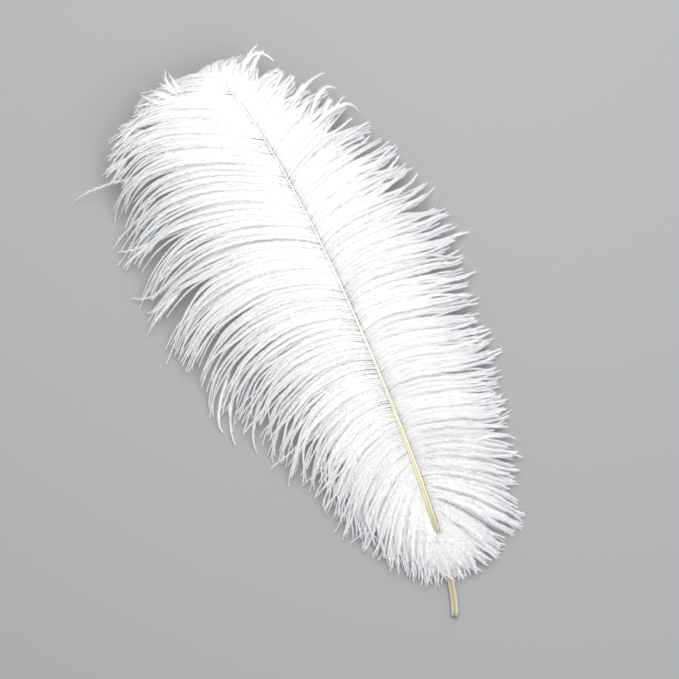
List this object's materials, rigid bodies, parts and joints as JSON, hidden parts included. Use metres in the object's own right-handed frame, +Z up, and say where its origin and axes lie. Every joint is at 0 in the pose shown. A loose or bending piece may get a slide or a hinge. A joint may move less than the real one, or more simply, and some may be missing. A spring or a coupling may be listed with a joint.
{
  "type": "ostrich feather",
  "caption": "White ostrich plume lying down, with an arched shaft, two drooping vanes of soft loose locks and a rolled-under tip; a loose feather for decoration or trim.",
  "frame": {"origin": "on the surface the feather lies on, under the middle of its box seen from above", "axes": "+Y from the cut quill towards the rolled tip, +Z up from the surface, +X to the right when seen from above with the tip away from the viewer"},
  "size_m": [0.2216, 0.4012, 0.0468],
  "materials": {
    "barbs": "soft matte white down with a faint silky sheen",
    "shaft": "satin cream horn, off-white at the quill and whiter towards the tip"
  },
  "bodies": {
    "root": {"feather": "barbs"}
  },
  "joints": []
}
